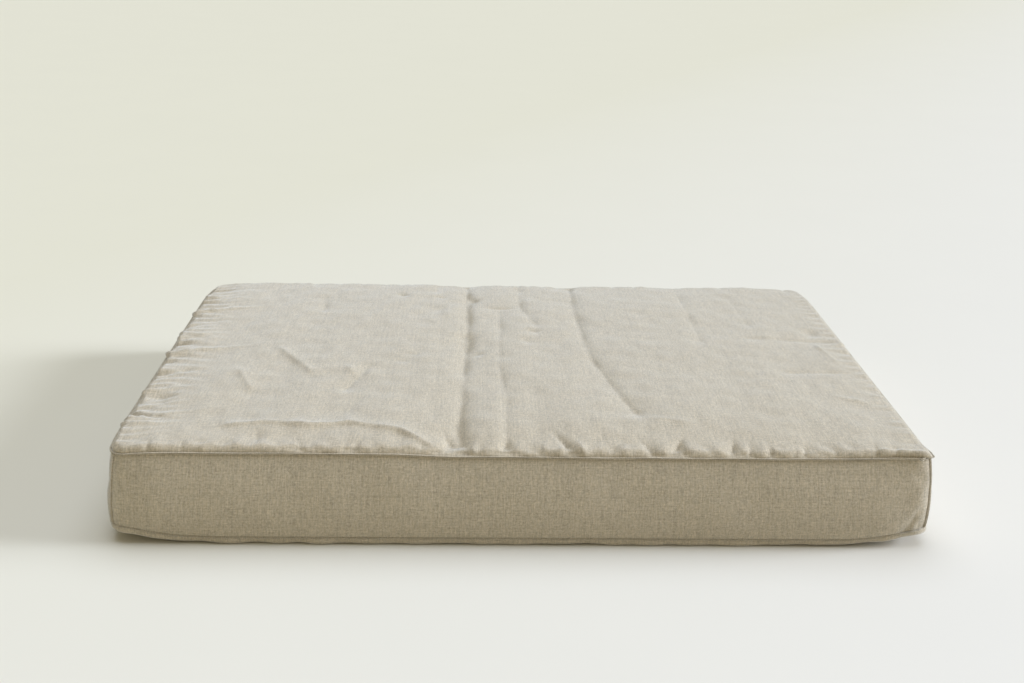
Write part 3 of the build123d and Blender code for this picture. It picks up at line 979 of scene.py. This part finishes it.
# Where the bands meet at each corner: one end of a relaxed band, from the bottom seam up
corner_curves = {
    (-1, -1): bands["front"]["points"][0],
    (1, -1): bands["front"]["points"][-1],
    (1, 1): bands["right"]["points"][-1],
    (-1, 1): bands["left"]["points"][0],
}

# Back bands, above and below the zip's slot: nearly shut between the slot and the corner seams
slot_half_height = 0.0052
slot_half_length = zip_half + 0.0055
slot_shut = 0.0003
back_line, back_foot, back_outward = side_line("back")
back_along = length_along(back_line)
back_along -= back_along[-1] / 2
over_zip = smooth((slot_half_length - np.abs(back_along)) / 0.004)
slot_edge = slot_shut + (slot_half_height - slot_shut) * over_zip
share = (graded(0.5, 18) + 0.5)[None, :]
for part, low, high, lip in (
    ("lower", back_foot[:, 2], zip_height - slot_edge, low_lip_length),
    ("upper", zip_height + slot_edge, back_line[:, 2], lip_length),
):
    height = low[:, None] + (high - low)[:, None] * share
    place = back_along[:, None] + 0 * share
    from_corner = back_along[-1] - np.abs(place)
    from_zip = np.abs(height - zip_height) - slot_half_height
    free = smooth(from_zip / 0.02) * smooth(from_corner / 0.05)
    by_seam = np.minimum(np.abs(height - bottom_seam), np.abs(height - top_seam))
    swell = 0.0022 * np.sin(math.pi * share) + 0.0008 * ripple(place, height, 0.06, 51)
    swell = swell * free * smooth(by_seam / 0.01)
    folded_edge = 0.00035 * np.exp(-((from_zip - 0.0012) / 0.0014) ** 2) * over_zip[:, None]
    swell = np.maximum(swell + folded_edge, 0.0001)
    near_foot = smooth((zip_height - slot_half_height - 0.004 - height) / (zip_height - bottom_seam - 0.02))
    at_corner = 1 - smooth(from_corner / 0.02)
    spread = np.maximum(near_foot, at_corner * (1 - (height - bottom_seam) / band_height))
    # Round the slot the cloth lies flat, on the zip's tapes
    by_zip = smooth((slot_half_length + 0.010 - np.abs(place)) / 0.010)
    by_zip = by_zip * (1 - smooth((from_zip - 0.013) / 0.02))
    plan = back_line[:, None, :2] + (back_foot - back_line)[:, None, :2] * spread[..., None]
    plan[..., 1] += by_zip * np.maximum(half_y - plan[..., 1], 0)
    points = np.concatenate([plan + back_outward[:, None, :2] * swell[..., None], height[..., None]], -1)
    # Each end meets the relaxed side band
    for side_x, end in ((1, 0), (-1, -1)):
        curve = corner_curves[side_x, 1]
        meets = np.stack([np.interp(height[end], curve[:, 2], curve[:, axis]) for axis in (0, 1)], -1)
        near_end = 1 - smooth(np.abs(back_along - back_along[end]) / 0.024)
        points[..., :2] += near_end[:, None, None] * (meets - points[end, :, :2])
    add_sheet(f"back_{part}_band", f"cover_back_{part}_band", "linen", cloth,
              *lipped_band(points, place, height - bottom_seam, back_line, back_outward,
                           part == "lower", part == "upper"),
              flat=(2 * (back_along.max() + end_lip_length), band_height / 2 - slot_half_height + lip))

# Bottom panel: it curls under the bands and lifts a little off the floor here and there
floor_gap = 0.0002
under_radius = 0.0078
under_sheet = Panel(foot_half, foot_corner, under_radius, bottom_seam - under_radius - cloth / 2 - floor_gap)
under_s, under_t = under_sheet.grid(190, 134)
under_plan, under_rise, under_normal, under_depth = under_sheet.wrap(under_s, under_t)
under_normal[..., 2] *= -1
from_seam = smooth(under_depth / 0.004)
# Low waves off the floor, and a tuck just inside the bottom seam
lifted = 0.0016 * np.clip(ripple(under_plan[0], under_plan[1], 0.16, 61) + 0.25, 0, 1.2)
lifted *= smooth(under_depth / 0.006) * smooth((0.06 - under_depth) / 0.05)
tuck = 0.0016 * ripple(under_plan[0], under_plan[1], 0.035, 62) * from_seam * np.exp(-under_depth / 0.02)
tuck += 0.0018 * np.exp(-((under_depth - 0.007) / 0.0045) ** 2) * from_seam
under = np.stack([*under_plan, bottom_seam - under_rise + lifted], -1) + under_normal * tuck[..., None]
under[..., 2] = np.maximum(under[..., 2], cloth / 2 + floor_gap)
under = move_corners(under, foot_corner_moves, foot_half)
under[under_depth < on_seam] -= up_step
under_ways = outline_normal(under_normal) + low_lip_fall
add_sheet("bottom_panel", "cover_bottom_panel", "linen", cloth,
          *add_lips(under, flat_grid(under_s, under_t), border_ways(under_ways), [low_lip_length] * 4),
          flat=[2 * (side + low_lip_length) for side in under_sheet.flat_half],
          rests_on="foam_core", held="laid", flip=True)


# ---------------------------------------------------------------- stitching of the seams
def lip_stitches(name, grid, ways, length, side):
    """Stitches on a seam lip, halfway out: side is 1 for its upper side and -1 for its lower side."""
    way = border_loop(ways)
    up = (np.array([0, 0, 1]) - way * way[:, 2:3]) * side
    return stitches(name, border_loop(grid) + way * length * 0.5 + up * stitch_lift, up)


def resample(line, count, trim=0.3):
    """Points evenly spread by number along a line, from a little inside its first point to its last."""
    at = np.linspace(trim, len(line) - 1 - trim, count)
    return np.stack([np.interp(at, np.arange(len(line)), line[:, axis]) for axis in range(3)], -1)


belongs(lip_stitches("top_seam_stitches", raised_top, top_ways, lip_length, 1),
        "top_seam_stitching")
belongs(lip_stitches("bottom_seam_stitches", under, under_ways, low_lip_length, -1),
        "bottom_seam_stitching")

for number, (side_x, side_y) in enumerate(corner_curves, start=1):
    way = np.array([side_x, side_y, 0]) / math.sqrt(2)
    aside = np.array([way[1], -way[0], 0])
    path = resample(corner_curves[side_x, side_y], 30) + way * end_lip_length * 0.5
    run = stitches(f"corner_seam_stitches_{number}", path + aside * (lip_apart + stitch_lift),
                   np.tile(aside, (len(path), 1)))
    belongs(run, "corner_seam_stitching")

topstitch_inset = 0.0025
topstitch_lift = cloth / 2 + 0.0002
topstitch_half = slot_half_length - 0.001
for sign, part in ((-1, "lower"), (1, "upper")):
    x = np.linspace(-topstitch_half, topstitch_half, 200)
    height = zip_height + sign * (slot_half_height + topstitch_inset)
    path = np.stack([x, 0 * x + half_y + topstitch_lift, 0 * x + height], -1)
    run = stitches(f"zip_stitches_{part}", path, np.tile([0.0, 1.0, 0.0], (len(path), 1)))
    belongs(run, "zip_stitching")

# ---------------------------------------------------------------- zip
# Each row of teeth is one filament wound into a flat coil.
coil_pitch = 0.0014
filament = 0.00032
points_per_turn = 9
for part, node, flip in (("upper", row_high, 1), ("lower", row_low, -1)):
    low, high = (np.array(end) for end in node)
    length = high[0] - low[0]
    count = int(length / coil_pitch) * points_per_turn
    turn = np.linspace(0, (length - 2 * filament) / coil_pitch * 2 * math.pi, count)
    middle, reach = (low + high) / 2, (high - low) / 2 - filament
    path = np.stack([low[0] + filament + turn / (2 * math.pi) * coil_pitch,
                     middle[1] + reach[1] * np.sin(turn),
                     middle[2] + flip * reach[2] * np.cos(turn)], -1)
    coil = wire(f"zip_teeth_{part}", path, filament, materials["zip_nylon"])
    belongs(coil, f"zip_coil_{part}")

for slot, nodes in (
    ("zip_tape", ("zip_tape_upper", "zip_tape_lower")),
    ("zip_metal", ("zip_top_stops", "zip_bottom_stop", "zip_slider_body", "zip_pull_tab")),
):
    for node in nodes:
        for material_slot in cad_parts[node].material_slots:
            material_slot.material = materials[slot]

# ---------------------------------------------------------------- filling
case_low, case_high = (np.array(end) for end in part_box("inner_casing_band"))
bottom_case_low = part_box("inner_casing_bottom")[0][2]
top_case_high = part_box("inner_casing_top")[1][2]
filling_middle = np.array([0, (case_low[1] + case_high[1]) / 2, 0])
wool_low, wool_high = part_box("wadding_bottom")[0][2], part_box("wadding_top")[1][2]
foam_low, foam_high = (np.array(end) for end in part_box("foam_core"))


def follow_corners(points):
    """Moves the corners of the filling the way the cover's corners are moved at their height."""
    share = np.clip(points[..., 2:] / top_seam, 0, 1)
    foot_way = move_corners(points, foot_corner_moves, foot_half) - points
    top_way = move_corners(points, top_corner_moves, half) - points
    return points + foot_way * (1 - share) + top_way * share


def tray(size, corner_radius, radius, seam, face, counts, relief, seed):
    """Half of a layer of the filling: a flat face whose sides run to a level edge at the seam."""
    upward = 1 if face > seam else -1
    sheet = Panel(size, corner_radius, radius, abs(face - seam) - radius)
    s, t = sheet.grid(*counts)
    plan, rise, normal, depth = sheet.wrap(s, t)
    normal[..., 2] *= upward
    height = seam + upward * rise
    if upward > 0:
        height += crown_height(*plan) - seam_dip(*plan) * smooth(rise / rise.max())
    points = follow_corners(np.stack([plan[0], plan[1], height], -1) + filling_middle)
    points -= normal * (relief * (0.5 + 0.5 * ripple(s, t, 0.05, seed)) * smooth(depth / 0.01))[..., None]
    return points, flat_grid(s, t)


# Calico case: give is the room it leaves for the cover's creases, under the top and, with more, at the sides
calico_thickness = 0.0005
calico_hem = 0.006
give = 0.0072
side_give = 1.3 * give
bottom_give = 0.0032
case_size = (case_high[0] - side_give, (case_high[1] - case_low[1]) / 2 - side_give)
case_corner = 0.022
# Each: the half, the height of its seam and of its face, and the radius of its edge.
for part, seam, face, radius in (
    ("top", case_high[2] - give, top_case_high - give, 0.0068),
    ("bottom", case_low[2] + 0.0012, bottom_case_low + bottom_give, 0.0065),
):
    add_sheet(f"case_{part}", f"inner_casing_{part}", "calico", calico_thickness,
              *tray(case_size, case_corner, radius, seam, face, (100, 72), relief=0.0008, seed=71),
              flat=[2 * side + calico_hem for side in case_size], rests_on=f"wadding_{part}",
              flip=part == "bottom")

# The wall's two ends nearly meet, and its upper and lower edges stay just clear of the seams
wall_foot = 0.0018
wall_top = 0.0008
loop_sheet = Panel(case_size, case_corner, 0.006)
loop_plan = loop_sheet.wrap(*loop_sheet.grid(100, 72))[0]
loop = border_loop(np.stack([*loop_plan, 0 * loop_plan[0]], -1)) + filling_middle
loop[-1] += (loop[-2] - loop[-1]) * 0.1
loop_along = length_along(loop)
wall_height = case_high[2] - case_low[2] - give - wall_foot - wall_top
heights = case_low[2] + wall_foot + wall_height * np.linspace(0, 1, 12)[None, :, None]
wall = follow_corners(loop[:, None] * (1, 1, 0) + np.array([0, 0, 1]) * heights)
add_sheet("case_band", "inner_casing_band", "calico", calico_thickness, wall,
          flat_grid(loop_along[:, None] + 0 * wall[..., 2], wall[..., 2]), flat=(loop_along[-1], wall_height))

# Wadding wraps and foam slab, each clear of the layer round it
wool = 0.0056
wool_gap = 0.0014
foam_gap = 0.0020
wool_seam_half = 0.0006
foam_seam_half = 0.0005
wool_size = [side - wool_gap - wool / 2 for side in case_size]
wool_middle = (wool_low + wool_high) / 2
wool_faces = {"top": wool_high - give - wool / 2 - 0.0012, "bottom": wool_low + 0.0034 + wool / 2 + 0.0012}
for part, sign in (("top", 1), ("bottom", -1)):
    points, flat = tray(wool_size, case_corner - 0.001, 0.0045, wool_middle + sign * wool_seam_half,
                        wool_faces[part], (110, 80), relief=0.0010, seed=75)
    piece = cloth_shell(f"wadding_{part}_wrap", points, flat, wool, materials["wadding"],
                        flip=part == "bottom")
    belongs(piece, f"wadding_{part}")

foam_size = [side - wool / 2 - foam_gap for side in wool_size]
foam_middle = (foam_low[2] + foam_high[2]) / 2
foam_halves = []
for part, sign, seed in (("top", 1, 81), ("bottom", -1, 82)):
    points, flat = tray(foam_size, 0.016, 0.004, foam_middle + sign * foam_seam_half,
                        wool_faces[part] - sign * (wool / 2 + foam_gap), (90, 64), relief=0.0006, seed=seed)
    foam_halves.append(points)
foam_slab = closed_between("foam_slab", *foam_halves, flat, materials["foam"])
belongs(foam_slab, "foam_core")

# ---------------------------------------------------------------- floor, light and camera
floor_radii = (0.4, 1.2, 4.0, 16.0)
floor_sides = 96


def make_floor():
    """Pale seamless paper with painted light falloff: warmer and darker to the left and towards the back,
    standing in for the key light on the right fading off.
    """
    shader = Shader("floor")
    x, y, _ = shader.parts(shader.object_place())
    # Painted light falloff: the share of the darker, warmer colour grows to the left and towards the back.
    share = shader.add("ShaderNodeClamp", {"Value": y * 0.00022 + 0.44 - x * 0.00040})
    grain = shader.noise(shader.object_place(), 0.004, 3.0)
    color = shader.mix(share, (0.755, 0.735, 0.69, 1.0), (0.69, 0.665, 0.54, 1.0))
    return shader.finish(shader.tone(color, 0.99 + grain * 0.02), 0.75)


def add_floor():
    """A wide disc: rings of quads round a middle face."""
    turn = np.linspace(0, 2 * math.pi, floor_sides, endpoint=False)
    rim = np.stack([np.cos(turn), np.sin(turn), 0 * turn], -1)
    number = np.arange(len(floor_radii) * floor_sides).reshape(len(floor_radii), floor_sides)
    after = np.roll(number, -1, axis=1)
    quads = np.stack([number[:-1], number[1:], after[1:], after[:-1]], -1).reshape(-1, 4)
    points = np.concatenate([rim * radius for radius in floor_radii])
    return add_object("floor", points, [quads, number[:1]], make_floor())


floor = add_floor()
floor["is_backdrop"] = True


def sun(name, turn, height, spread, strength, color):
    """A far light: turn is the way it comes from, from +X towards +Y, and spread its width, in degrees."""
    lamp = bpy.data.lights.new(name, "SUN")
    lamp.angle = math.radians(spread)
    lamp.energy = strength
    lamp.color = color
    holder = bpy.data.objects.new(name, lamp)
    turn, height = math.radians(turn), math.radians(height)
    way = Vector((math.cos(turn) * math.cos(height), math.sin(turn) * math.cos(height), math.sin(height)))
    holder.rotation_euler = way.to_track_quat("Z", "Y").to_euler()
    bpy.context.collection.objects.link(holder)


sun("window", 2, 19, 22, 3.1, (0.93, 1.0, 1.15))
sun("low_key", 2, 22, 7, 0.35, (0.93, 1.0, 1.15))
sun("overhead", 80, 74, 60, 1.32, (0.90, 1.0, 1.22))
sun("front_fill", -80, 12, 80, 0.18, (1.0, 0.80, 0.50))


def make_world():
    """Warm even light from all round, with a pale backdrop where the camera looks past the floor."""
    world = bpy.data.worlds.new("studio")
    world.use_nodes = True
    nodes, links = world.node_tree.nodes, world.node_tree.links
    around = nodes["Background"]
    around.inputs["Color"].default_value = (1.0, 0.94, 0.74, 1.0)
    around.inputs["Strength"].default_value = 0.40
    backdrop = nodes.new("ShaderNodeBackground")
    backdrop.inputs["Color"].default_value = (0.72, 0.71, 0.62, 1.0)
    choice = nodes.new("ShaderNodeMixShader")
    links.new(nodes.new("ShaderNodeLightPath").outputs["Is Camera Ray"], choice.inputs[0])
    links.new(around.outputs[0], choice.inputs[1])
    links.new(backdrop.outputs[0], choice.inputs[2])
    links.new(choice.outputs[0], nodes["World Output"].inputs["Surface"])
    return world


bpy.context.scene.world = make_world()

camera = bpy.data.cameras.new("camera")
camera.lens = 46.7
camera.sensor_width = 36
camera.clip_end = 100
camera.dof.use_dof = False
viewer = bpy.data.objects.new("camera", camera)
viewer.location = (-0.064, -1.818, 0.769)
tilt, pan, roll = math.radians(-19.0), math.radians(-1.88), math.radians(1.16)
aim = Euler((math.pi / 2 + tilt, 0, pan), "XYZ").to_matrix() @ Euler((0, 0, roll), "XYZ").to_matrix()
viewer.rotation_euler = aim.to_euler()
bpy.context.collection.objects.link(viewer)
bpy.context.scene.camera = viewer
bpy.context.scene.view_settings.view_transform = "Standard"

# ---------------------------------------------------------------- sizes and the end
low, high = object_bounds()
